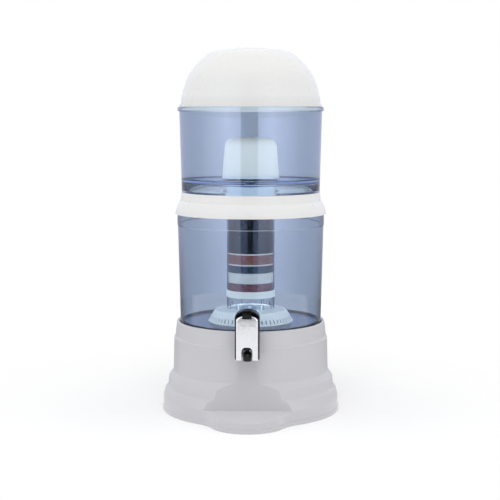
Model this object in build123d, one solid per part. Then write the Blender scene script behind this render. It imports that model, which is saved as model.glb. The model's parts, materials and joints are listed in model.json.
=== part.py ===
from build123d import *
import math
import os

# Gravity water filter with tap, in millimetres. A stepped stand carries a clear lower tank with a
# lever tap. A cover ring on that tank carries a clear upper tank, which holds a ceramic candle; the
# candle's stem runs through the tank's floor into a media cartridge that hangs in the lower tank.
# The origin is on the standing surface, on the tanks' axis. +Z is up and the tap faces -Y.

# ---- clearances ----
lift_gap = 0.6  # radial, between rims that lift apart
slip_gap = 0.1  # radial, between pieces that stay together
thread_gap = 0.05  # radial, between a plain stem and its threaded hole
running_gap = 0.05  # radial, between a pin or stem that moves and its bore
gasket_gap = 0.3  # radial, between a gasket and the stem through it
over = 1.0  # how far a cutting tool runs past the face that it cuts

# ---- lower tank ----
lower_base_r = 115.0  # outside, at the foot
lower_draft = 4.0  # how much wider the wall is at the rim line
lower_height = 189.0
lower_wall = 3.0
lower_floor = 3.0
lower_floor_lift = 9.0  # inside floor above the foot
rim_line_depth = 22.0  # the thicker rim band below the lip
rim_line_step = 0.8
foot_ring_width = 5.5
tank_foot_round = 1.5
tank_floor_round = 4.0

# ---- stand ----
stand_height = 147.0
stand_wall = 3.0
seat_depth = 10.0  # recess for the lower tank's foot
seat_gap = 1.5
rim_width = 4.8
rim_round = 2.0
rim_band_height = 24.0
rim_band_flare = 2.7
shoulder_drop = 3.0
shoulder_flare = 2.0
wall_flare = 1.4
high_ledge_top = 66.0
high_ledge_drop = 11.0
high_ledge_flare = 7.6
middle_flare = 1.5
low_ledge_top = 40.0
low_ledge_drop = 5.0
low_ledge_flare = 4.5
plinth_flare = 3.0
ledge_round = 1.5
plinth_top = 22.7  # where the flat front meets the front foot
foot_bead = 0.8
foot_bead_height = 6.0
front_foot_r = 60.0
front_foot_reach = 182.0  # from the axis to the tip of the front foot
front_foot_tip = 15.5  # height of the front foot at its tip
front_foot_blend = 60.0
front_foot_root = 20.0  # how far the front foot runs back into the round plinth
rib_count = 8
rib_width = 2.5
rib_depth = 12.0
rib_hub_r = 16.0

# ---- cover ring between the tanks ----
cover_wall = 2.5
cover_skirt = 3.4  # below the lower tank's lip
cover_height = 32.0  # from that lip to the upper tank's seat
cover_neck = 14.0
cover_neck_flare = 2.0
cover_neck_step = 0.2  # how far the neck stands proud of the upper tank
cover_bulge = 1.7  # of the curved shoulder, out from a straight cone
cover_neck_round = 1.0
cover_edge_round = 0.8
cover_deck = 3.0
cover_deck_drop = 12.0
cover_hole_r = 46.0
cover_collar_rise = 4.0
cover_rib_depth = 6.0

# ---- upper tank ----
upper_base_r = 112.5  # outside, where it sits on the cover ring
upper_draft = 3.2
upper_height = 137.5  # from its seat to the lip
upper_wall = 3.0
upper_floor = 3.0
upper_floor_lift = 20.6  # inside floor above the seat
upper_plug_depth = 8.0
upper_plug_wall = 2.5
upper_plug_gap = 0.3  # radial, in the cover ring
upper_plug_taper = 3.0
upper_floor_round = 3.0
lip_height = 6.5
lip_overhang = 2.8
lip_round = 1.5
lip_cone = 1.0
lip_cone_round = 0.6

# ---- lid ----
lid_wall = 2.5
lid_height = 93.5
lid_flange = 4.0
lid_flange_width = 2.8
lid_plug_depth = 8.0
lid_plug_wall = 2.4
lid_disc_r = 27.0
lid_disc_rise = 1.7
lid_disc_edge = 0.7

# ---- ceramic candle ----
candle_base_r = 46.0
candle_top_r = 41.2
candle_height = 61.0
candle_wall = 8.0
candle_round = 14.0
candle_crown = 2.0
candle_foot_height = 5.4
candle_foot_lip = 0.5
candle_foot_round = 1.0
candle_spigot = 5.0
candle_spigot_gap = 0.8
stem_r = 8.0
stem_bore_r = 3.5
stem_length = 28.6
tank_hole_gap = 1.0  # radial, round the stem
gasket_width = 9.0  # beyond the stem
candle_gasket = 2.0

# ---- cartridge ----
tube_r = 39.0
tube_wall = 1.6
tube_neck_step = 0.5
tube_neck = 26.0
cartridge_length = 206.0  # from the gasket under the tank to the outlet's lower edge
cap_wall = 2.0  # beyond the tube
cap_skirt = 47.6
cap_plate = 3.0
cap_round = 2.5
cap_boss_wall = 5.0  # beyond the stem
cap_boss_length = 19.6
cap_gasket = 2.0
bottom_cap_wall = 1.2  # beyond the tube
bottom_cap_height = 11.0
bottom_cap_round = 0.8
bottom_plate = 3.0
bottom_hole_count = 10
bottom_hole_r = 1.5
bottom_hole_inset = 15.0  # holes' ring inside the tube's outside
outlet_height = 18.9
outlet_step = 1.0  # in from the bottom cap
outlet_wall = 2.2
outlet_slot_count = 12
outlet_slot_width = 5.0
outlet_slot_height = 8.0
pad_thickness = 2.2  # felt discs between the media
balls_depth = 20.8
silica_depth = 14.7
silver_carbon_depth = 14.3
mineral_sand_depth = 17.7
carbon_depth = 64.9

# ---- mineral box on the lower tank's floor ----
box_r = 70.0
box_knee_r = 63.5
box_top_r = 58.0
box_knee = 11.0
box_shoulder = 19.0
box_crown = 1.0
box_round = 3.0
box_wall = 2.0
box_slot_count = 60
box_slot_width = 2.0
box_slot_low = 2.5
box_slot_high = 8.5
tray_plate = 1.6
tray_wall_r = 52.0
tray_wall_height = 6.0
stone_size = 11.0
stone_spread = 2.0  # how much the stones' lengths differ
stone_flatness = 0.8
stone_corner = 0.22  # share of its height cut off each edge
stone_turn = 47.0  # degrees from one stone to the next
stone_rings = ((18.0, 5), (40.0, 11))  # ring radius and number of stones

# ---- tap ----
shank_rise = 16.0  # shank axis above the stand's rim
shank_r = 8.0
shank_bore_r = 4.5
shank_hole_gap = 0.2
wall_pad_r = 15.0
wall_pad_proud = 1.4
wall_pad_depth = 6.0
washer_r = 14.0
outer_washer = 1.6
inner_washer = 2.0
nut_across_flats = 24.0
nut_height = 7.0
shank_end = 4.0  # beyond the nut
tap_stand_gap = 3.0  # between the tap's back and the stand's flat front
collar_r = 13.0
shell_half_width = 19.0
shell_wall = 1.9
shell_back = 2.4
shell_depth = 21.0
shell_bottom_drop = 54.0  # below the shank axis
shell_arch_rise = 12.0
shell_arch_base = 10.0  # where the arch starts, above the shank axis
front_wall = 1.8
front_arch_rise = 8.0
front_arch_base = 7.0
front_back_offset = 5.0
tap_depth = 28.0
front_round = 2.5
spout_window_half = 8.5
spout_window_drop = 34.0  # window's top below the shank axis
window_round = 7.0
notch_half_width = 7.2
notch_rise = 9.6  # notch floor above the shank axis
notch_gap = 1.2  # behind the plunger's head
panel_half_width = 12.0
panel_proud = 0.7
panel_seam = 0.8  # level with the shank axis
panel_top_rise = 8.4
panel_bottom_drop = 31.5
panel_round = 1.5
plunger_offset = 12.0  # plunger axis in front of the tap's back
barrel_r = 9.5
barrel_top_rise = 6.0
barrel_bottom_drop = 39.0
chamber_r = 6.5
valve_seat_drop = 23.0
outlet_bore_r = 2.8
nozzle_socket_r = 3.6
nozzle_socket_depth = 6.0
flange_r = 11.0
flange_thickness = 2.0
lever_arm = 8.6  # from the lever's pin to the plunger axis
pin_rise = 9.6
pin_r = 1.25
ear_r = 2.8
ear_length = 12.0
ear_inner = 4.8
ear_outer = 7.0
bonnet_plug = 3.0
bonnet_flange = 1.2
bonnet_flange_r = 7.0
bonnet_flange_gap = 0.4
plunger_stem_r = 2.0
plunger_collar_r = 5.6
plunger_collar = 3.0
plunger_head_r = 3.4
plunger_head = 1.8
plunger_head_round = 0.5
plunger_head_gap = 0.4
seal_r = 5.4
seal_thickness = 3.0
spring_r = 4.3
spring_wire = 1.0  # square wire
spring_turns = 4
nozzle_r = 6.7
nozzle_length = 19.0
nozzle_neck_r = 2.9
nozzle_neck = 3.0
nozzle_cone = 4.0
nozzle_round = 1.5
nozzle_edge_round = 0.8
nozzle_bore_r = 2.0
nozzle_mouth_r = 5.2
nozzle_mouth_depth = 9.0
nozzle_mouth_cone = 2.0
nozzle_end_gap = 0.2  # above its plug, in the socket
lever_hub_r = 2.4
lever_half_width = 4.5
tab_half_width = 6.75
tab_overhang = 5.0  # in front of the tap's face
tab_ear_gap = 0.8
tab_tail = 3.5
tab_tail_rise = 8.2
tab_ridge_rise = 9.3
tab_tip_rise = 2.8
tab_lip_drop = 1.4
tab_round = 1.4
finger_r = 1.5
finger_drop = 0.5  # fingers' axis below the lever's pin
fork_half_gap = 2.5
arm_rise = 0.9  # arm's top above the fingers' axis
arm_reach = 1.8  # beyond the plunger axis
arm_thickness = 1.8

# ---- heights worked out from the stack ----
seat_z = stand_height - seat_depth
lower_floor_z = seat_z + lower_floor_lift
lower_lip_z = seat_z + lower_height
cover_top_z = lower_lip_z + cover_height
cover_deck_z = cover_top_z - cover_deck_drop
upper_floor_z = cover_top_z + upper_floor_lift
upper_lip_z = cover_top_z + upper_height
lid_top_z = upper_lip_z + lid_height
cartridge_top_z = upper_floor_z - upper_floor - cap_gasket
cartridge_low_z = cartridge_top_z - cartridge_length
bottom_cap_z = cartridge_low_z + outlet_height
media_floor_z = bottom_cap_z + bottom_plate
cap_skirt_z = cartridge_top_z - cap_skirt
tap_z = stand_height + shank_rise

# ---- radii worked out from what fits what ----
lower_rim_r = lower_base_r + lower_draft + rim_line_step
recess_r = lower_base_r + seat_gap
stand_rim_r = recess_r + rim_width
band_r = stand_rim_r + rim_band_flare
stand_wall_top_r = band_r + shoulder_flare
stand_wall_low_r = stand_wall_top_r + wall_flare
middle_top_r = stand_wall_low_r + high_ledge_flare
middle_low_r = middle_top_r + middle_flare
plinth_top_r = middle_low_r + low_ledge_flare
stand_base_r = plinth_top_r + plinth_flare
front_face_y = -stand_wall_top_r
plug_r = upper_base_r - cover_wall - upper_plug_gap
tank_hole_r = stem_r + tank_hole_gap
gasket_r = stem_r + gasket_width
cap_boss_r = stem_r + cap_boss_wall
cap_r = tube_r + cap_wall
bottom_cap_r = tube_r + bottom_cap_wall
outlet_r = bottom_cap_r - outlet_step
media_r = tube_r - tube_wall - slip_gap
front_half_width = shell_half_width - shell_wall - slip_gap

# ---- places in the tap, from the wall of the lower tank outwards ----
rim_line_z = lower_lip_z - rim_line_depth
wall_share = (tap_z - seat_z) / (rim_line_z - seat_z)
tank_wall_y = -(lower_base_r + lower_draft * wall_share)
wall_pad_y = tank_wall_y - wall_pad_proud
wall_pad_inner_y = wall_pad_y + wall_pad_depth
collar_y = wall_pad_y - outer_washer
tap_back_y = front_face_y - tap_stand_gap
tap_front_y = tap_back_y - tap_depth
plunger_y = tap_back_y - plunger_offset
pin_y = plunger_y - lever_arm
pin_z = tap_z + pin_rise
valve_seat_z = tap_z - valve_seat_drop
barrel_top_z = tap_z + barrel_top_rise
barrel_bottom_z = tap_z - barrel_bottom_drop
bonnet_low_z = barrel_top_z - bonnet_plug
finger_z = pin_z - finger_drop
head_z = finger_z + finger_r + plunger_head_gap
spring_low_z = valve_seat_z + seal_thickness + plunger_collar


# ---- helpers ----
def outline(corners, close=False):
    """Outline in the XZ plane. Each corner is (radius, height) or (radius, height, rounding)."""
    points = [(corner[0], 0, corner[1]) for corner in corners]
    rounds = [corner[2] if len(corner) > 2 else 0 for corner in corners]
    return FilletPolyline(*points, radius=rounds if close else rounds[1:-1], close=close)


def turned(corners):
    """Solid of revolution about Z, from a closed outline."""
    return revolve(make_face(outline(corners, close=True)), Axis.Z)


def tube(outer_r, inner_r, low, high):
    """Plain ring with square corners, about Z."""
    return turned([(inner_r, low), (outer_r, low), (outer_r, high), (inner_r, high)])


def disc(radius, low, high):
    """Plain cylinder about Z."""
    return Pos(0, 0, low) * extrude(Circle(radius), high - low)


def block(x_half, y_low, y_high, z_low, z_high):
    """Box centred on the YZ plane."""
    centre = Pos(0, (y_low + y_high) / 2, (z_low + z_high) / 2)
    return centre * Box(2 * x_half, y_high - y_low, z_high - z_low)


def rod_y(radius, y_low, y_high, height):
    """Cylinder along Y at X = 0."""
    centre = Pos(0, (y_low + y_high) / 2, height)
    return centre * Rot(90, 0, 0) * Cylinder(radius, y_high - y_low)


def rod_x(radius, x_low, x_high, y, height):
    """Cylinder along X."""
    centre = Pos((x_low + x_high) / 2, y, height)
    return centre * Rot(0, 90, 0) * Cylinder(radius, x_high - x_low)


def around(count, piece, start=0.0):
    """Copies of a piece, evenly spaced about Z."""
    return [Rot(0, 0, start + 360 * step / count) * piece for step in range(count)]


def side_plate(points, x_half):
    """Plate cut from an outline of (y, z) points, centred on the YZ plane."""
    outline = Polyline(*[(-x_half, y, z) for y, z in points], close=True)
    return extrude(make_face(outline), 2 * x_half, dir=(1, 0, 0))


# ---- stand ----
def stand_plan(radius, foot_r, blend):
    """Plan of the plinth: the round base with the tongue of the front foot, blended into it."""
    foot_y = front_foot_r - front_foot_reach
    across = radius + blend
    down = (foot_y**2 + across**2 - (foot_r + blend) ** 2) / (2 * foot_y)
    blend_centre = Vector(math.sqrt(across**2 - down**2), down)
    foot_centre = Vector(0, foot_y)
    on_base = blend_centre * (radius / across)
    on_foot = foot_centre + (blend_centre - foot_centre) * (foot_r / (foot_r + blend))
    middle = blend_centre - ((blend_centre - on_base) + (blend_centre - on_foot)).normalized() * blend
    half = ThreePointArc(on_base, middle, on_foot)
    outline = [
        ThreePointArc(on_base, (0, radius), (-on_base.X, on_base.Y)),
        half,
        mirror(half, Plane.YZ),
        ThreePointArc(on_foot, (0, foot_y - foot_r), (-on_foot.X, on_foot.Y)),
    ]
    return make_face(outline)


def plinth_cut(inset):
    """What lies above the sloping top of the front foot and in front of the flat face."""
    back_y = front_face_y + inset
    past_tip = 10 * over
    slope = (plinth_top - front_foot_tip) / (front_foot_reach + front_face_y)
    corners = [
        (back_y, plinth_top - inset),
        (back_y, stand_height),
        (-front_foot_reach - past_tip, stand_height),
        (-front_foot_reach - past_tip, front_foot_tip - inset - slope * past_tip),
    ]
    return side_plate(corners, stand_base_r)


def stand_form(inset):
    """The stand's stepped body, or its hollow when inset is the wall."""
    top = stand_height if inset == 0 else seat_z - stand_wall
    band_low = stand_height - rim_band_height
    shoulder_low = band_low - shoulder_drop
    body = turned([
        (0, 0),
        (stand_base_r - inset, 0),
        (stand_base_r - inset, plinth_top),
        (plinth_top_r - inset, low_ledge_top - low_ledge_drop, ledge_round),
        (middle_low_r - inset, low_ledge_top),
        (middle_top_r - inset, high_ledge_top - high_ledge_drop, ledge_round),
        (stand_wall_low_r - inset, high_ledge_top),
        (stand_wall_top_r - inset, shoulder_low, ledge_round),
        (band_r - inset, band_low),
        (stand_rim_r - inset, top, rim_round if inset == 0 else 0),
        (0, top),
    ])
    blend = front_foot_blend + inset
    plan = stand_plan(stand_base_r - inset, front_foot_r - inset, blend)
    front_zone = block(stand_base_r, -2 * front_foot_reach, front_face_y + front_foot_root,
                       0, plinth_top)
    foot = extrude(plan, plinth_top) & front_zone
    form = body + foot - plinth_cut(inset)
    if inset == 0:
        bead_plan = stand_plan(stand_base_r + foot_bead, front_foot_r + foot_bead, blend)
        form += extrude(bead_plan, foot_bead_height)
    return form


def make_stand():
    recess = turned([
        (0, seat_z),
        (recess_r, seat_z),
        (recess_r, stand_height - rim_round),
        (recess_r + rim_round, stand_height),
        (recess_r + rim_round, stand_height + over),
        (0, stand_height + over),
    ])
    shell = stand_form(0) - stand_form(stand_wall) - recess
    deck_low = seat_z - stand_wall
    rib_start = rib_hub_r - rib_width / 2
    rib_length = stand_rim_r - rib_start
    rib = Pos(rib_start + rib_length / 2, 0, deck_low - rib_depth / 2) * Box(
        rib_length, rib_width, rib_depth)
    hub = tube(rib_hub_r, rib_hub_r - rib_width, deck_low - rib_depth, deck_low)
    return shell + hub + around(rib_count, rib, 180 / rib_count)


# ---- lower tank ----
def make_lower_tank():
    wall_r = lower_base_r + lower_draft
    floor_low_z = lower_floor_z - lower_floor
    tank = turned([
        (0, floor_low_z),
        (lower_base_r - foot_ring_width, floor_low_z),
        (lower_base_r - foot_ring_width, seat_z),
        (lower_base_r, seat_z, tank_foot_round),
        (wall_r, rim_line_z),
        (lower_rim_r, rim_line_z + rim_line_step),
        (lower_rim_r, lower_lip_z),
        (lower_rim_r - lower_wall, lower_lip_z),
        (wall_r - lower_wall, rim_line_z),
        (lower_base_r - lower_wall, lower_floor_z, tank_floor_round),
        (0, lower_floor_z),
    ])
    pad = rod_y(wall_pad_r, wall_pad_y, wall_pad_inner_y, tap_z)
    hole_r = shank_r + shank_hole_gap
    return tank + pad - rod_y(hole_r, wall_pad_y - over, wall_pad_inner_y + over, tap_z)


# ---- mineral box ----
def make_box_cover():
    low = lower_floor_z
    cover = turned([
        (box_r - box_wall, low),
        (box_r, low),
        (box_knee_r, low + box_knee),
        (box_top_r, low + box_shoulder, box_round),
        (0, low + box_shoulder + box_crown),
        (0, low + box_shoulder + box_crown - box_wall),
        (box_top_r - box_wall / 2, low + box_shoulder - box_wall),
        (box_knee_r - box_wall, low + box_knee),
    ])
    slot_height = box_slot_high - box_slot_low
    slot_length = 4 * (box_r - box_knee_r)
    slot = Pos(box_knee_r, 0, low + box_slot_low + slot_height / 2) * Box(
        slot_length, box_slot_width, slot_height)
    return cover - around(box_slot_count, slot)


def make_box_tray():
    low = lower_floor_z
    lean = (box_r - box_knee_r) * tray_plate / box_knee
    plate = disc(box_r - box_wall - lean - slip_gap, low, low + tray_plate)
    wall_top = low + tray_plate + tray_wall_height
    return plate + tube(tray_wall_r, tray_wall_r - box_wall, low + tray_plate, wall_top)


def make_stones():
    stones = []
    for ring_r, count in stone_rings:
        for step in range(count):
            length = stone_size + stone_spread * math.sin(2.3 * step + ring_r)
            width = stone_size - 0.75 * stone_spread * math.cos(1.7 * step)
            height = stone_flatness * width
            stone = chamfer(Box(length, width, height).edges(), stone_corner * height)
            turn = Rot(0, 0, 360 * step / count)
            rest = Pos(ring_r, 0, lower_floor_z + tray_plate + height / 2)
            stones.append(turn * rest * Rot(0, 0, stone_turn * step) * stone)
    return Compound(children=stones)


# ---- cover ring ----
def make_cover():
    skirt_z = lower_lip_z - cover_skirt
    skirt_r = lower_rim_r + lift_gap
    neck_z = cover_top_z - cover_neck
    neck_r = upper_base_r + cover_neck_step
    lip_inner_r = lower_rim_r - lower_wall + slip_gap
    bore_r = upper_base_r - cover_wall
    deck_low_z = cover_deck_z - cover_deck
    shoulder_low = Vector(skirt_r + cover_wall, 0, skirt_z)
    shoulder_top = Vector(neck_r + cover_neck_flare, 0, neck_z)
    slant = (shoulder_top - shoulder_low).normalized()
    middle = (shoulder_low + shoulder_top) / 2 + Vector(slant.Z, 0, -slant.X) * cover_bulge
    shoulder = ThreePointArc(shoulder_low, middle, shoulder_top)
    rest = outline([
        (shoulder_top.X, neck_z),
        (neck_r, cover_top_z, cover_neck_round),
        (bore_r, cover_top_z, cover_edge_round),
        (bore_r, cover_deck_z),
        (cover_hole_r + cover_wall, cover_deck_z),
        (cover_hole_r + cover_wall, cover_deck_z + cover_collar_rise),
        (cover_hole_r, cover_deck_z + cover_collar_rise),
        (cover_hole_r, deck_low_z - cover_rib_depth),
        (cover_hole_r + cover_wall, deck_low_z - cover_rib_depth),
        (cover_hole_r + cover_wall, deck_low_z),
        (bore_r, deck_low_z),
        (lip_inner_r, deck_low_z - cover_rib_depth),
        (lip_inner_r, lower_lip_z),
        (skirt_r, lower_lip_z),
        (skirt_r, skirt_z),
        (shoulder_low.X, skirt_z),
    ])
    ring = revolve(make_face(shoulder + rest), Axis.Z)
    inner_r = cover_hole_r + cover_wall / 2
    rib = Pos((inner_r + bore_r) / 2, 0, deck_low_z - cover_rib_depth / 2) * Box(
        bore_r - inner_r, rib_width, cover_rib_depth)
    return ring + around(rib_count, rib)


# ---- upper tank ----
def make_upper_tank():
    lip_z = upper_lip_z - lip_height
    wall_top_r = upper_base_r + upper_draft
    floor_r = upper_base_r + upper_draft * upper_floor_lift / upper_height - upper_wall
    plug_inner_r = plug_r - upper_plug_wall
    return turned([
        (plug_inner_r, cover_top_z - upper_plug_depth),
        (plug_r, cover_top_z - upper_plug_depth),
        (plug_r, cover_top_z),
        (upper_base_r, cover_top_z),
        (wall_top_r, lip_z - lip_cone),
        (wall_top_r + lip_overhang, lip_z, lip_cone_round),
        (wall_top_r + lip_overhang, upper_lip_z, lip_round),
        (wall_top_r - upper_wall, upper_lip_z),
        (floor_r, upper_floor_z, upper_floor_round),
        (tank_hole_r, upper_floor_z),
        (tank_hole_r, upper_floor_z - upper_floor),
        (floor_r, upper_floor_z - upper_floor, upper_floor_round),
        (plug_inner_r, cover_top_z + upper_plug_taper),
    ])


# ---- lid ----
def lid_curve():
    """Dome of the lid, from the edge of the raised disc down to the flange."""
    rim_r = upper_base_r + upper_draft - upper_wall + slip_gap
    low = upper_lip_z + lid_flange
    rise = lid_height - lid_flange - lid_disc_rise
    return Spline(
        (lid_disc_r, 0, low + rise),
        (0.57 * rim_r, 0, low + 0.950 * rise),
        (0.78 * rim_r, 0, low + 0.725 * rise),
        (0.93 * rim_r, 0, low + 0.418 * rise),
        (0.985 * rim_r, 0, low + 0.180 * rise),
        (rim_r, 0, low),
        tangents=[(1, 0, -0.02), (0, 0, -1)],
    )


def inset_curve(curve, depth, samples=7):
    """Curve at an even depth inside another one, for a shell's inner face."""
    points = []
    for step in range(samples):
        along = curve % (step / (samples - 1))
        points.append(curve @ (step / (samples - 1)) + Vector(along.Z, 0, -along.X) * depth)
    return Spline(*points, tangents=[curve % 0, curve % 1])


def make_lid():
    outer = lid_curve()
    inner = inset_curve(outer, lid_wall)
    rim_r = (outer @ 1).X
    flange_z = upper_lip_z + lid_flange
    plug_outer_r = rim_r - lift_gap
    plug_inner_r = plug_outer_r - lid_plug_wall
    ceiling_z = lid_top_z - lid_wall
    disc_inner_r = lid_disc_r - lid_wall
    crown = Polyline((0, 0, lid_top_z), (lid_disc_r - lid_disc_edge, 0, lid_top_z),
                     (lid_disc_r, 0, lid_top_z - lid_disc_edge), outer @ 0)
    rim = Polyline(outer @ 1, (rim_r + lid_flange_width, 0, flange_z),
                   (rim_r + lid_flange_width, 0, upper_lip_z), (plug_outer_r, 0, upper_lip_z),
                   (plug_outer_r, 0, upper_lip_z - lid_plug_depth),
                   (plug_inner_r, 0, upper_lip_z - lid_plug_depth), (plug_inner_r, 0, flange_z),
                   inner @ 1)
    ceiling = Polyline(inner @ 0, (disc_inner_r, 0, (inner @ 0).Z), (disc_inner_r, 0, ceiling_z),
                       (0, 0, ceiling_z), (0, 0, lid_top_z))
    return revolve(make_face(crown + outer + rim + inner + ceiling), Axis.Z)


# ---- ceramic candle ----
def make_candle_gasket():
    return tube(gasket_r, stem_r + gasket_gap, upper_floor_z, upper_floor_z + candle_gasket)


def make_candle_base():
    low = upper_floor_z + candle_gasket
    top = low + candle_foot_height
    spigot_r = candle_base_r - candle_wall - candle_spigot_gap
    return turned([
        (stem_bore_r, low - stem_length),
        (stem_r, low - stem_length),
        (stem_r, low),
        (candle_base_r + candle_foot_lip, low),
        (candle_base_r + candle_foot_lip, top, candle_foot_round),
        (spigot_r, top),
        (spigot_r, top + candle_spigot),
        (stem_bore_r, top + candle_spigot),
    ])


def make_candle():
    low = upper_floor_z + candle_gasket + candle_foot_height
    top = low + candle_height
    shoulder = top - candle_crown
    return turned([
        (candle_base_r - candle_wall, low),
        (candle_base_r, low),
        (candle_top_r, shoulder, candle_round),
        (0, top),
        (0, top - candle_wall),
        (candle_top_r - candle_wall, shoulder - candle_wall, candle_round - candle_wall),
    ])


# ---- cartridge ----
def make_cap_gasket():
    return tube(gasket_r, stem_r + gasket_gap, cartridge_top_z, cartridge_top_z + cap_gasket)


def make_top_cap():
    inner_r = tube_r - tube_neck_step + slip_gap
    boss_z = cartridge_top_z - cap_boss_length
    plate_z = cartridge_top_z - cap_plate
    return turned([
        (stem_r + thread_gap, boss_z),
        (cap_boss_r, boss_z),
        (cap_boss_r, plate_z),
        (inner_r, plate_z),
        (inner_r, cap_skirt_z),
        (cap_r, cap_skirt_z),
        (cap_r, cartridge_top_z, cap_round),
        (stem_r + thread_gap, cartridge_top_z),
    ])


def make_tube():
    neck_r = tube_r - tube_neck_step
    bore_r = tube_r - tube_wall
    return turned([
        (bore_r, media_floor_z),
        (tube_r, media_floor_z),
        (tube_r, cap_skirt_z),
        (neck_r, cap_skirt_z),
        (neck_r, cap_skirt_z + tube_neck),
        (bore_r, cap_skirt_z + tube_neck),
    ])


def make_bottom_cap():
    band_inner_r = tube_r + slip_gap
    cap = turned([
        (0, bottom_cap_z),
        (bottom_cap_r, bottom_cap_z),
        (bottom_cap_r, bottom_cap_z + bottom_cap_height, bottom_cap_round),
        (band_inner_r, bottom_cap_z + bottom_cap_height),
        (band_inner_r, media_floor_z),
        (0, media_floor_z),
    ])
    hole_ring_r = tube_r - bottom_hole_inset
    hole = Pos(hole_ring_r, 0, 0) * disc(bottom_hole_r, bottom_cap_z, media_floor_z)
    return cap - around(bottom_hole_count, hole)


def make_outlet():
    skirt = tube(outlet_r, outlet_r - outlet_wall, cartridge_low_z, bottom_cap_z)
    slot = Pos(outlet_r, 0, cartridge_low_z + outlet_slot_height / 2) * Box(
        4 * outlet_wall, outlet_slot_width, outlet_slot_height)
    return skirt - around(outlet_slot_count, slot)


def media_layers():
    """Low and high of each layer in the tube, with a felt disc below each and one on top."""
    depths = {
        "media_mineral_balls": balls_depth,
        "media_silica_sand": silica_depth,
        "media_silver_carbon": silver_carbon_depth,
        "media_mineral_sand": mineral_sand_depth,
        "media_carbon": carbon_depth,
    }
    layers, pads, level = {}, [], media_floor_z
    for name, depth in depths.items():
        pads.append((level, level + pad_thickness))
        layers[name] = (level + pad_thickness, level + depth)
        level += depth
    pads.append((level, level + pad_thickness))
    return layers, pads


def make_pads():
    return Compound(children=[disc(media_r, low, high) for low, high in media_layers()[1]])


# ---- tap ----
def arch_face(half_width, base_rise, arch_rise, y):
    """Upright outline at depth y: straight sides and a flat elliptical arch on top."""
    low = tap_z - shell_bottom_drop
    base = tap_z + base_rise
    sides = Polyline((half_width, 0, base), (half_width, 0, low), (-half_width, 0, low),
                     (-half_width, 0, base))
    plane = Plane(origin=(0, 0, base), x_dir=(1, 0, 0), z_dir=(0, -1, 0))
    arch = plane * EllipticalCenterArc((0, 0), half_width, arch_rise, arc_size=180)
    return Pos(0, y, 0) * make_face(sides + arch)


def arch_block(half_width, base_rise, arch_rise, back_y, front_y):
    """Solid with the arched outline, from back_y forward to front_y."""
    face = arch_face(half_width, base_rise, arch_rise, back_y)
    return extrude(face, back_y - front_y, dir=(0, -1, 0))


def spout_window(back_y, front_y):
    """Opening round the spout, with rounded upper corners."""
    top = tap_z - spout_window_drop
    low = tap_z - shell_bottom_drop - over
    window = block(spout_window_half, front_y - over, back_y + over, low, top)
    upper_edges = window.edges().filter_by(Axis.Y).group_by(Axis.Z)[-1]
    return fillet(upper_edges, window_round)


def make_back_shell():
    front_y = tap_back_y - shell_depth
    plate_y = tap_back_y - shell_back
    outer = arch_block(shell_half_width, shell_arch_base, shell_arch_rise, tap_back_y, front_y)
    hollow = arch_block(shell_half_width - shell_wall, shell_arch_base,
                        shell_arch_rise - shell_wall, plate_y, front_y - over)
    open_bottom = block(shell_half_width - shell_wall, front_y - over, plate_y,
                        tap_z - shell_bottom_drop - over, tap_z)
    shell = outer - hollow - open_bottom - spout_window(tap_back_y, plate_y)
    collar = rod_y(collar_r, plate_y, collar_y, tap_z)
    return shell + collar - rod_y(shank_r + shank_hole_gap, front_y, collar_y + over, tap_z)


def make_front_cover():
    back_y = tap_back_y - front_back_offset
    inner_y = tap_front_y + front_wall
    bottom_z = tap_z - shell_bottom_drop
    top_z = tap_z + front_arch_base + front_arch_rise
    outer = arch_block(front_half_width, front_arch_base, front_arch_rise, back_y, tap_front_y)
    front_edges = outer.faces().sort_by(Axis.Y)[0].edges()
    outer = fillet(front_edges.filter_by(lambda e: e.center().Z > bottom_z + over), front_round)
    hollow = arch_block(front_half_width - front_wall, front_arch_base,
                        front_arch_rise - front_wall, back_y + over, inner_y)
    open_bottom = block(front_half_width - front_wall, inner_y, back_y + over,
                        bottom_z - over, tap_z)
    lower_panel = panel(tap_z - panel_seam / 2, tap_z - panel_bottom_drop)
    upper_panel = panel(tap_z + panel_top_rise, tap_z + panel_seam / 2)
    notch = block(notch_half_width, tap_front_y - over, plunger_y + plunger_head_r + notch_gap,
                  tap_z + notch_rise, top_z + over)
    cover = outer - hollow - open_bottom + lower_panel + upper_panel
    return cover - spout_window(back_y, tap_front_y) - notch


def panel(top, low):
    """Raised panel on the front cover, with rounded upright edges."""
    plate = block(panel_half_width, tap_front_y - panel_proud, tap_front_y + front_wall / 2, low, top)
    corners = plate.edges().filter_by(Axis.Y)
    return fillet(corners, panel_round)


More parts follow.
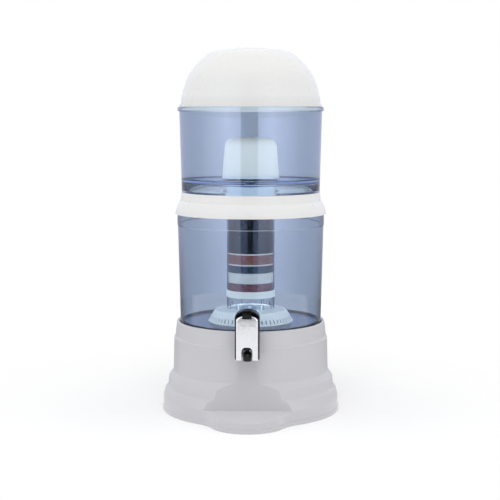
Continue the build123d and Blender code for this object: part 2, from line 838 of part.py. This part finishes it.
def make_valve_body():
    shank_tip_y = wall_pad_inner_y + inner_washer + nut_height + shank_end
    inner_back_y = tap_back_y - shell_back
    axis = Pos(0, plunger_y, 0)
    body = rod_y(shank_r, plunger_y, shank_tip_y, tap_z)
    body += rod_y(flange_r, inner_back_y - flange_thickness, inner_back_y, tap_z)
    body += axis * disc(barrel_r, barrel_bottom_z, barrel_top_z)
    body -= axis * disc(bonnet_flange_r + bonnet_flange_gap, barrel_top_z, pin_z)
    for side in (-1, 1):
        x_low = ear_inner if side > 0 else -ear_outer
        x_high = x_low + ear_outer - ear_inner
        ear = Pos((x_low + x_high) / 2, pin_y, pin_z - ear_length / 2) * Box(
            x_high - x_low, 2 * ear_r, ear_length)
        body += ear + rod_x(ear_r, x_low, x_high, pin_y, pin_z)
    body -= rod_x(pin_r, -ear_outer - over, ear_outer + over, pin_y, pin_z)
    body -= axis * disc(chamber_r, valve_seat_z, barrel_top_z + over)
    body -= axis * disc(outlet_bore_r, barrel_bottom_z, valve_seat_z + over)
    socket_top_z = barrel_bottom_z + nozzle_socket_depth
    body -= axis * disc(nozzle_socket_r, barrel_bottom_z - over, socket_top_z)
    body -= rod_y(shank_bore_r, plunger_y, shank_tip_y + over, tap_z)
    return body


def make_bonnet():
    bonnet = turned([
        (plunger_stem_r + running_gap, bonnet_low_z),
        (chamber_r - slip_gap, bonnet_low_z),
        (chamber_r - slip_gap, barrel_top_z),
        (bonnet_flange_r, barrel_top_z),
        (bonnet_flange_r, barrel_top_z + bonnet_flange),
        (plunger_stem_r + running_gap, barrel_top_z + bonnet_flange),
    ])
    return Pos(0, plunger_y, 0) * bonnet


def make_plunger():
    collar_z = valve_seat_z + seal_thickness
    plunger = turned([
        (0, collar_z),
        (plunger_collar_r, collar_z),
        (plunger_collar_r, collar_z + plunger_collar),
        (plunger_stem_r, collar_z + plunger_collar),
        (plunger_stem_r, head_z),
        (plunger_head_r, head_z),
        (plunger_head_r, head_z + plunger_head, plunger_head_round),
        (0, head_z + plunger_head),
    ])
    return Pos(0, plunger_y, 0) * plunger


def make_seal():
    return Pos(0, plunger_y, 0) * disc(seal_r, valve_seat_z, valve_seat_z + seal_thickness)


def make_spring():
    height = bonnet_low_z - spring_low_z - 1.2 * spring_wire
    coil = Helix(pitch=height / spring_turns, height=height, radius=spring_r)
    section = Plane(origin=coil @ 0, x_dir=(1, 0, 0), z_dir=coil % 0) * Rectangle(
        spring_wire, spring_wire)
    wire = sweep(section, path=coil, is_frenet=True)
    return Pos(0, plunger_y, spring_low_z + 0.6 * spring_wire) * wire


def make_nozzle():
    low = barrel_bottom_z - nozzle_length
    shoulder = barrel_bottom_z - nozzle_neck - nozzle_cone
    top = barrel_bottom_z + nozzle_socket_depth - nozzle_end_gap
    mouth_top = low + nozzle_mouth_depth
    nozzle = turned([
        (nozzle_mouth_r, low),
        (nozzle_r, low, nozzle_edge_round),
        (nozzle_r, shoulder, nozzle_round),
        (nozzle_neck_r, shoulder + nozzle_cone),
        (nozzle_neck_r, barrel_bottom_z),
        (nozzle_socket_r - slip_gap, barrel_bottom_z),
        (nozzle_socket_r - slip_gap, top),
        (nozzle_bore_r, top),
        (nozzle_bore_r, mouth_top + nozzle_mouth_cone),
        (nozzle_mouth_r, mouth_top),
    ])
    return Pos(0, plunger_y, 0) * nozzle


def make_lever():
    tab_front_y = tap_front_y - tab_overhang
    tab_back_y = pin_y - ear_r - tab_ear_gap
    tab_under_z = pin_z + ear_r + tab_ear_gap * 2
    tab = side_plate([
        (pin_y + tab_tail, tab_under_z),
        (pin_y + tab_tail, pin_z + tab_tail_rise),
        (pin_y - tab_tail, pin_z + tab_ridge_rise),
        (tab_front_y, tab_under_z + tab_tip_rise),
        (tab_front_y, tab_under_z - tab_lip_drop),
        (tab_back_y, tab_under_z - tab_lip_drop),
        (tab_back_y, tab_under_z),
    ], tab_half_width)
    front_edges = tab.edges().filter_by(Axis.X).group_by(Axis.Y)[0]
    tab = fillet(front_edges, tab_round)
    neck = block(lever_half_width, tab_back_y - tab_ear_gap, pin_y, pin_z, tab_under_z + over)
    hub = rod_x(lever_hub_r, -lever_half_width, lever_half_width, pin_y, pin_z)
    arm_top = finger_z + arm_rise
    arm_end_y = plunger_y + arm_reach
    arm = block(lever_half_width, pin_y, arm_end_y, arm_top - arm_thickness, arm_top)
    slot = block(fork_half_gap, plunger_y - fork_half_gap - slip_gap, arm_end_y + over,
                 finger_z - finger_r - over, finger_z + finger_r + over)
    fingers = rod_x(finger_r, -lever_half_width, lever_half_width, plunger_y, finger_z)
    bore = rod_x(pin_r + running_gap, -tab_half_width, tab_half_width, pin_y, pin_z)
    return tab + neck + hub + (arm + fingers - slot) - bore


def make_lever_pin():
    return rod_x(pin_r, -ear_outer, ear_outer, pin_y, pin_z)


def washer(y_low, thickness):
    """Rubber washer round the shank, from y_low towards the tank's axis."""
    ring = rod_y(washer_r, y_low, y_low + thickness, tap_z)
    return ring - rod_y(shank_r + shank_hole_gap, y_low - over, y_low + thickness + over, tap_z)


def make_nut():
    low = wall_pad_inner_y + inner_washer
    plane = Plane(origin=(0, low, tap_z), x_dir=(1, 0, 0), z_dir=(0, 1, 0))
    hexagon = plane * RegularPolygon(nut_across_flats / math.sqrt(3), 6)
    bore = rod_y(shank_r + thread_gap, low - over, low + nut_height + over, tap_z)
    return extrude(hexagon, nut_height) - bore


# ---- the whole filter ----
def all_parts():
    parts = {
        "stand": make_stand(),
        "lower_tank": make_lower_tank(),
        "mineral_box_tray": make_box_tray(),
        "mineral_box_cover": make_box_cover(),
        "mineral_stones": make_stones(),
        "tank_cover": make_cover(),
        "upper_tank": make_upper_tank(),
        "lid": make_lid(),
        "ceramic_dome": make_candle(),
        "ceramic_base": make_candle_base(),
        "ceramic_gasket": make_candle_gasket(),
        "cartridge_gasket": make_cap_gasket(),
        "cartridge_top_cap": make_top_cap(),
        "cartridge_housing": make_tube(),
        "cartridge_bottom_cap": make_bottom_cap(),
        "cartridge_outlet": make_outlet(),
        "separator_pads": make_pads(),
        "tap_back_shell": make_back_shell(),
        "tap_front_cover": make_front_cover(),
        "tap_valve_body": make_valve_body(),
        "tap_bonnet": make_bonnet(),
        "tap_plunger": make_plunger(),
        "tap_seal": make_seal(),
        "tap_spring": make_spring(),
        "tap_nozzle": make_nozzle(),
        "tap_lever": make_lever(),
        "tap_lever_pin": make_lever_pin(),
        "tap_washer_outer": washer(collar_y, outer_washer),
        "tap_washer_inner": washer(wall_pad_inner_y, inner_washer),
        "tap_nut": make_nut(),
    }
    for name, (low, high) in media_layers()[0].items():
        parts[name] = disc(media_r, low, high)
    return parts


os.makedirs("parts", exist_ok=True)
for node, shape in all_parts().items():
    export_step(shape, f"parts/{node}.step")
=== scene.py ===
import json
import math

import bmesh
import bpy
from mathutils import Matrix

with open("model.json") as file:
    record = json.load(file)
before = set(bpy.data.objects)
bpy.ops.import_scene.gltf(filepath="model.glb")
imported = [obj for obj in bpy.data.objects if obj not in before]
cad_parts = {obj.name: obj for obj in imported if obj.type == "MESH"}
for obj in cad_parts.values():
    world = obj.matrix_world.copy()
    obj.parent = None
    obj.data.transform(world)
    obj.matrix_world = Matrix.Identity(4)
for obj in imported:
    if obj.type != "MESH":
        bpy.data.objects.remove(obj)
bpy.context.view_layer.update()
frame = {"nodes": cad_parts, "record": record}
nodes = frame["nodes"]

# Lengths are in metres and angles in degrees unless a line says otherwise.

# ---- camera ----
IMAGE_SIDE = 500  # pixels
FOCAL_PIXELS = 1243.5
SENSOR = 36.0  # mm
CAMERA_DISTANCE = 2.03  # from the tanks' axis, level
CAMERA_HEIGHT = 0.484
CAMERA_AZIMUTH = 2.1  # towards +X
HORIZON_Y = 114  # pixels from the top
AXIS_X = 250.7  # pixels from the left

# ---- light for paint ----
SKY_EVEN = 0.08  # from every direction
SKY_TOP = 0.56  # more from straight up
SKY_SIDES = 0.95  # more from the left and right, level
KEY_DISTANCE = 2.6
KEY_ELEVATION = 60.0  # in front of the object
KEY_SIZE = 1.2
KEY_IRRADIANCE = 0.24  # on a surface that faces it, where 1 shows a colour as it is

# ---- light inside the tanks ----
INSIDE_SKY = (3.05, 2.84, 2.33)  # gives back what the blue walls take away
UNDER_FLOOR = 2.5  # times that, where the upper tank's floor takes its share too
UNDER_FLOOR_CROSSINGS = 6  # surfaces of plastic that such a ray passes

# ---- light for gloss ----
MIRROR_PEAK = 3.4
MIRROR_BANDS = (  # angle away from straight in front, share of the peak
    (0.0, 0.01), (12.5, 0.01), (15.0, 0.72), (36.0, 1.0), (62.0, 0.62),
    (88.0, 0.285), (108.0, 0.19), (126.0, 0.20), (180.0, 0.20),
)
MIRROR_LOW_SHARE = 0.40  # of the bands, in directions below the horizon
MIRROR_BEHIND = 1.0  # behind the object and above the horizon
MIRROR_TOP = 1.05  # overhead
MIRROR_TINT = (0.95, 1.0, 1.22)  # of all but the light overhead
# Each of these starts at its first limit and is complete at its second.
LOW_Z = (-0.05, -0.16)  # height of a direction whose length is 1
ABOVE_HORIZON_Z = (0.01, 0.04)
OVERHEAD_Z = (0.5, 0.85)
BEHIND = (100.0, 140.0)  # away from straight in front

# ---- floor ----
FLOOR_RADIUS = 1.2
FLOOR_Z = -0.0002  # just under the stand
FLOOR_PAPER = (0.985, 0.985, 0.985)
SHADOW_RADIUS = 0.25  # paper with a shadow up to here
WHITE_RADIUS = 0.60  # and plain white to the camera from here on
REAR_Y = (0.1, 0.3)  # from the first to the second the floor dims for gloss
REAR_STRENGTH = 0.2

# ---- colours, linear ----
STAND_GREY = (0.552, 0.549, 0.570)
LID_WHITE = (0.790, 0.790, 0.784)
TANK_TINT = (0.540, 0.602, 0.702)
TANK_DEPTH = (0.985, 0.99, 0.997)  # what gets through TANK_THICKNESS besides
TANK_THICKNESS = 0.0035
CLEAR_IOR = 1.49
PEARL = (0.74, 0.80, 0.84)
CLEAR_TINT = (0.92, 0.95, 0.97)
CAP_BLUE = (0.080, 0.170, 0.420)
CAP_SKIRT_Z = 0.3615  # where the cap turns from blue to pearl
CAP_SKIRT_BLUR = 0.0002
CERAMIC = (0.86, 0.86, 0.82)
FELT = (0.72, 0.72, 0.70)
CARBON = (0.010, 0.011, 0.014)
BROWN = (0.26, 0.085, 0.070)
SILVER_CARBON = (0.020, 0.045, 0.085)
SILICA = (0.80, 0.79, 0.77)
CLAY = (0.20, 0.065, 0.085)
STONE = (0.50, 0.46, 0.40)
BLACK = (0.010, 0.010, 0.011)
CHROME = (0.58, 0.58, 0.60)
STEEL = (0.55, 0.55, 0.57)
RUBBER = (0.030, 0.030, 0.032)


# ---- node helpers ----
class Nodes:
    """A node tree with short calls. A value is a number, a colour or the socket it comes from."""

    def __init__(self, tree, place):
        self.tree = tree
        tree.nodes.clear()
        self.place = self.new("TexCoord").outputs[place]

    def new(self, kind):
        return self.tree.nodes.new("ShaderNode" + kind)

    def feed(self, target, value):
        if isinstance(value, bpy.types.NodeSocket):
            self.tree.links.new(value, target)
        elif isinstance(value, tuple):
            target.default_value = (*value, 1)
        else:
            target.default_value = value

    def axes(self):
        """X, Y and Z of the place."""
        split = self.new("SeparateXYZ")
        self.feed(split.inputs["Vector"], self.place)
        return split.outputs["X"], split.outputs["Y"], split.outputs["Z"]

    def math(self, operation, *values):
        node = self.new("Math")
        node.operation = operation
        for target, value in zip(node.inputs, values):
            self.feed(target, value)
        return node.outputs["Value"]

    def product(self, first, *others):
        for other in others:
            first = self.math("MULTIPLY", first, other)
        return first

    def without(self, share):
        return self.math("SUBTRACT", 1.0, share)

    def spread(self, source, low, high, start=0.3, end=0.7, shape="LINEAR"):
        """Maps a value between start and end on to low to high."""
        node = self.new("MapRange")
        node.interpolation_type = shape
        node.inputs["From Min"].default_value = start
        node.inputs["From Max"].default_value = end
        node.inputs["To Min"].default_value = low
        node.inputs["To Max"].default_value = high
        self.feed(node.inputs["Value"], source)
        return node.outputs["Result"]

    def mix(self, factor, low, high, kind="FLOAT"):
        """Goes from one value to another, by a factor socket."""
        node = self.new("Mix")
        node.data_type = kind
        for target, value in (("Factor", factor), ("A", low), ("B", high)):
            self.feed(node.inputs[target], value)
        return node.outputs["Result"]

    def blend(self, factor, low, high):
        """Goes from one colour to another, by a factor socket."""
        return self.mix(factor, low, high, kind="RGBA")


class Shader(Nodes):
    """A material with one Principled shader and short calls for the nodes that feed it."""

    def __init__(self, name, colour, roughness, metallic=0.0, transmission=0.0, ior=1.5):
        self.material = bpy.data.materials.new(name)
        self.material.use_nodes = True
        super().__init__(self.material.node_tree, "Object")
        self.output = self.new("OutputMaterial")
        self.main = self.new("BsdfPrincipled")
        self.feed(self.output.inputs["Surface"], self.main.outputs["BSDF"])
        self.colour = colour
        self.feed(self.main.inputs["Base Color"], colour)
        self.main.inputs["Roughness"].default_value = roughness
        self.main.inputs["Metallic"].default_value = metallic
        self.main.inputs["Transmission Weight"].default_value = transmission
        self.main.inputs["IOR"].default_value = ior

    def noise(self, size, detail=3.0):
        """Noise with features of about that size."""
        texture = self.new("TexNoise")
        texture.inputs["Scale"].default_value = 1 / size
        texture.inputs["Detail"].default_value = detail
        self.feed(texture.inputs["Vector"], self.place)
        return texture.outputs["Fac"]

    def cells(self, size):
        """Grains of about that size: their random colours and the distance to their middles."""
        texture = self.new("TexVoronoi")
        texture.inputs["Scale"].default_value = 1 / size
        self.feed(texture.inputs["Vector"], self.place)
        return texture.outputs["Color"], texture.outputs["Distance"]

    def vary(self, factor, share):
        """Base colour that goes darker and lighter by a share of itself."""
        low = tuple(c * (1 - share) for c in self.colour)
        high = tuple(min(1.0, c * (1 + share)) for c in self.colour)
        self.feed(self.main.inputs["Base Color"], self.blend(factor, low, high))

    def rough(self, factor, low, high):
        self.feed(self.main.inputs["Roughness"], self.spread(factor, low, high))

    def bump(self, height, depth):
        node = self.new("Bump")
        node.inputs["Strength"].default_value = 1.0
        node.inputs["Distance"].default_value = depth
        self.feed(node.inputs["Height"], height)
        self.feed(self.main.inputs["Normal"], node.outputs["Normal"])

    def absorb(self, passed, thickness):
        """Body colour: the share of each colour that gets through that thickness."""
        node = self.new("VolumeAbsorption")
        loss = [-math.log(share) / thickness for share in passed]
        density = max(loss)
        node.inputs["Color"].default_value = (*[1 - amount / density for amount in loss], 1)
        node.inputs["Density"].default_value = density
        self.feed(self.output.inputs["Volume"], node.outputs["Volume"])


# ---- materials ----
def moulded(name, colour, roughness, gloss=0.2):
    """Smooth injection-moulded plastic."""
    s = Shader(name, colour, roughness)
    s.vary(s.noise(size=0.05), share=0.012)
    s.rough(s.noise(size=0.012), roughness * 0.85, roughness * 1.15)
    s.main.inputs["Specular IOR Level"].default_value = gloss
    return s.material


def top_cap():
    """Blue plate over a pearly skirt, which starts a little below the plate."""
    s = Shader("blue_plastic", CAP_BLUE, roughness=0.35)
    height = s.axes()[2]
    plate = s.spread(height, 0.0, 1.0, CAP_SKIRT_Z - CAP_SKIRT_BLUR, CAP_SKIRT_Z + CAP_SKIRT_BLUR)
    skirt = s.blend(s.noise(size=0.03), tuple(0.98 * c for c in PEARL), PEARL)
    s.feed(s.main.inputs["Base Color"], s.blend(plate, skirt, CAP_BLUE))
    return s.material


def clear(name, tint, roughness, passed=None):
    """Clear plastic. make_world tells the blue walls from the colourless tube by roughness."""
    s = Shader(name, tint, roughness, transmission=1.0, ior=CLEAR_IOR)
    s.vary(s.noise(size=0.08), share=0.008)
    if passed:
        s.absorb(passed, TANK_THICKNESS)
    return s.material


def ceramic():
    s = Shader("filter_ceramic", CERAMIC, roughness=0.85)
    s.vary(s.noise(size=0.004, detail=6.0), share=0.03)
    s.bump(s.noise(size=0.0006, detail=4.0), depth=0.00008)
    return s.material


def grains(name, colour, size, share, depth):
    """Loose grains pressed against the tube's wall."""
    s = Shader(name, colour, roughness=0.7)
    colours, distance = s.cells(size)
    tone = s.new("SeparateColor")
    s.feed(tone.inputs["Color"], colours)
    s.vary(tone.outputs["Red"], share)
    s.bump(distance, -depth)
    return s.material


def felt():
    s = Shader("filter_felt", FELT, roughness=0.95)
    s.vary(s.noise(size=0.0008, detail=6.0), share=0.12)
    s.bump(s.noise(size=0.0005, detail=4.0), depth=0.0002)
    s.main.inputs["Sheen Weight"].default_value = 0.3
    return s.material


def metal(name, colour, roughness):
    s = Shader(name, colour, roughness, metallic=1.0)
    s.vary(s.noise(size=0.02), share=0.02)
    s.rough(s.noise(size=0.004, detail=4.0), roughness * 0.8, roughness * 1.25)
    return s.material


def rubber():
    s = Shader("soft_rubber", RUBBER, roughness=0.7)
    s.vary(s.noise(size=0.003), share=0.15)
    s.bump(s.noise(size=0.0007), depth=0.00003)
    return s.material


MATERIALS = {
    "stand_plastic": moulded("stand_plastic", STAND_GREY, roughness=0.42, gloss=0.4),
    "white_plastic": moulded("white_plastic", LID_WHITE, roughness=0.30),
    "clear_blue_plastic": clear("clear_blue_plastic", TANK_TINT, roughness=0.02,
                                passed=TANK_DEPTH),
    "pearl_plastic": moulded("pearl_plastic", PEARL, roughness=0.40),
    "clear_plastic": clear("clear_plastic", CLEAR_TINT, roughness=0.0),
    "blue_plastic": top_cap(),
    "filter_ceramic": ceramic(),
    "filter_felt": felt(),
    "carbon_granules": grains("carbon_granules", CARBON, size=0.0022, share=0.6, depth=0.0006),
    "brown_sand": grains("brown_sand", BROWN, size=0.0016, share=0.45, depth=0.0004),
    "blue_granules": grains("blue_granules", SILVER_CARBON, size=0.0020, share=0.6, depth=0.0006),
    "white_sand": grains("white_sand", SILICA, size=0.0014, share=0.15, depth=0.0004),
    "clay_balls": grains("clay_balls", CLAY, size=0.0040, share=0.35, depth=0.0012),
    "mineral_stone": grains("mineral_stone", STONE, size=0.0030, share=0.2, depth=0.0003),
    "black_plastic": moulded("black_plastic", BLACK, roughness=0.22),
    "bright_chrome": metal("bright_chrome", CHROME, roughness=0.10),
    "spring_steel": metal("spring_steel", STEEL, roughness=0.28),
    "soft_rubber": rubber(),
}


def finish_cad_nodes():
    """Every CAD node gets the procedural material of its slot."""
    for part in frame["record"]["subparts"]:
        mesh = nodes[part["node"]].data
        for place in range(len(mesh.materials)):
            mesh.materials[place] = MATERIALS[part["material_slot"]]


# ---- stage ----
def paint_light(w, x, z):
    """A soft sky that is strongest at both sides and overhead."""
    above = w.math("MULTIPLY", w.math("MAXIMUM", z, 0.0), SKY_TOP)
    sides = w.math("MULTIPLY", w.math("ABSOLUTE", x), SKY_SIDES)
    return w.math("ADD", w.math("ADD", above, sides), SKY_EVEN)


def gloss_light(w, x, y, z, overhead):
    """A bright band on each side of a dark middle, with plain light overhead and behind."""
    turn = w.math("ABSOLUTE", w.math("ARCTAN2", x, w.math("MULTIPLY", y, -1.0)))
    bands = w.new("ValToRGB")
    ramp = bands.color_ramp
    while len(ramp.elements) < len(MIRROR_BANDS):
        ramp.elements.new(0.5)  # anywhere, as the loop below places it
    for element, (angle, share) in zip(ramp.elements, MIRROR_BANDS):
        element.position = angle / 180
        element.color = (share, share, share, 1)
    w.feed(bands.inputs["Fac"], w.math("DIVIDE", turn, math.pi))
    not_low, low = LOW_Z
    level = w.product(bands.outputs["Color"], MIRROR_PEAK,
                      w.spread(z, MIRROR_LOW_SHARE, 1.0, low, not_low))
    behind = w.product(w.spread(z, 0.0, 1.0, *ABOVE_HORIZON_Z),
                       w.spread(turn, 0.0, 1.0, *[math.radians(angle) for angle in BEHIND]))
    return w.mix(overhead, w.mix(behind, level, MIRROR_BEHIND), MIRROR_TOP)


def make_world():
    """White to the eye and through glass, soft for paint, and bands for gloss.

    What stands in the tanks is lit by rays that left it through the blue walls, and these are
    raised, so that it shows its colour. A ray that left last through the colourless tube lost
    little and isn't raised. It is known by being singular, as only the tube's roughness is 0.
    """
    world = bpy.data.worlds.new("studio")
    bpy.context.scene.world = world
    world.use_nodes = True
    w = Nodes(world.node_tree, "Generated")
    x, y, z = w.axes()
    overhead = w.spread(z, 0.0, 1.0, *OVERHEAD_Z, shape="SMOOTHSTEP")
    path = w.new("LightPath").outputs
    through = path["Is Transmission Ray"]
    reflected = w.math("GREATER_THAN", path["Glossy Depth"], 0.5)
    scattered = w.math("GREATER_THAN", path["Diffuse Depth"], 0.5)

    seen = w.math("MAXIMUM", path["Is Camera Ray"], through)
    strength = w.mix(reflected, w.mix(seen, paint_light(w, x, z), 1.0),
                     gloss_light(w, x, y, z, overhead))
    inside = w.product(through, scattered, w.without(reflected),
                       w.without(path["Is Singular Ray"]))
    crossings = w.math("COMPARE", path["Transmission Depth"], UNDER_FLOOR_CROSSINGS, 0.5)
    strength = w.product(strength, w.mix(w.product(inside, crossings), 1.0, UNDER_FLOOR))
    tinted = w.product(reflected, w.without(scattered), w.without(overhead))
    colour = w.blend(inside, w.blend(tinted, (1.0, 1.0, 1.0), MIRROR_TINT), INSIDE_SKY)

    background = w.new("Background")
    w.feed(background.inputs["Color"], colour)
    w.feed(background.inputs["Strength"], strength)
    w.feed(w.new("OutputWorld").inputs["Surface"], background.outputs["Background"])


def make_key_lamp():
    """Large soft lamp in front and above, for paint; gloss and glass reflect the world instead."""
    data = bpy.data.lights.new("key_lamp", "AREA")
    data.shape = "SQUARE"
    data.size = KEY_SIZE
    data.energy = KEY_IRRADIANCE * math.pi**2 * KEY_DISTANCE**2
    lamp = bpy.data.objects.new("key_lamp", data)
    bpy.context.scene.collection.objects.link(lamp)
    tilt = math.radians(KEY_ELEVATION)
    lamp.location = (0, -KEY_DISTANCE * math.cos(tilt), KEY_DISTANCE * math.sin(tilt))
    lamp.rotation_euler = (math.pi / 2 - tilt, 0, 0)
    lamp.visible_camera = False
    lamp.visible_glossy = False
    lamp.visible_transmission = False


def glow(s, share, under, strength):
    """Covers a share of a shader with white light."""
    light = s.new("Emission")
    light.inputs["Strength"].default_value = strength
    mix = s.new("MixShader")
    for target, value in zip(mix.inputs, (share, under, light.outputs["Emission"])):
        s.feed(target, value)
    return mix.outputs["Shader"]


def floor_paper():
    """Keeps the shadow near the object, and is plain white to the camera further away."""
    s = Shader("floor_paper", FLOOR_PAPER, roughness=0.95)
    s.vary(s.noise(size=0.3), share=0.005)
    length = s.new("VectorMath")
    length.operation = "LENGTH"
    s.feed(length.inputs[0], s.place)
    away = s.spread(length.outputs["Value"], 0.0, 1.0, SHADOW_RADIUS, WHITE_RADIUS)
    rear = s.spread(s.axes()[1], 0.0, 1.0, *REAR_Y)
    path = s.new("LightPath").outputs
    seen = s.math("MAXIMUM", path["Is Camera Ray"], path["Is Transmission Ray"])
    surface = glow(s, s.product(away, seen), s.main.outputs["BSDF"], 1.0)
    surface = glow(s, s.product(rear, path["Is Glossy Ray"]), surface, REAR_STRENGTH)
    s.feed(s.output.inputs["Surface"], surface)
    return s.material


def make_floor():
    mesh = bpy.data.meshes.new("floor")
    work = bmesh.new()
    bmesh.ops.create_circle(work, cap_ends=True, segments=96, radius=FLOOR_RADIUS)
    work.to_mesh(mesh)
    work.free()
    mesh.materials.append(floor_paper())
    floor = bpy.data.objects.new("floor", mesh)
    bpy.context.scene.collection.objects.link(floor)
    floor.location.z = FLOOR_Z
    floor.visible_transmission = False  # the white world shows through the tanks


def make_camera():
    """At its azimuth and height, pitched so that the horizon falls at its pixel."""
    data = bpy.data.cameras.new("camera")
    data.sensor_width = SENSOR
    data.lens = FOCAL_PIXELS / IMAGE_SIDE * SENSOR
    camera = bpy.data.objects.new("camera", data)
    bpy.context.scene.collection.objects.link(camera)
    angle = math.radians(CAMERA_AZIMUTH)
    camera.location = (CAMERA_DISTANCE * math.sin(angle), -CAMERA_DISTANCE * math.cos(angle),
                       CAMERA_HEIGHT)
    down = math.atan((IMAGE_SIDE / 2 - HORIZON_Y) / FOCAL_PIXELS)
    aside = math.atan((AXIS_X - IMAGE_SIDE / 2) / FOCAL_PIXELS)
    camera.rotation_euler = (math.pi / 2 - down, 0, angle + aside)
    bpy.context.scene.camera = camera


finish_cad_nodes()
make_world()
make_key_lamp()
make_floor()
make_camera()
bpy.context.scene.view_settings.view_transform = "Standard"
bpy.context.scene.cycles.blur_glossy = 0.0  # light reaches what stands behind clear walls
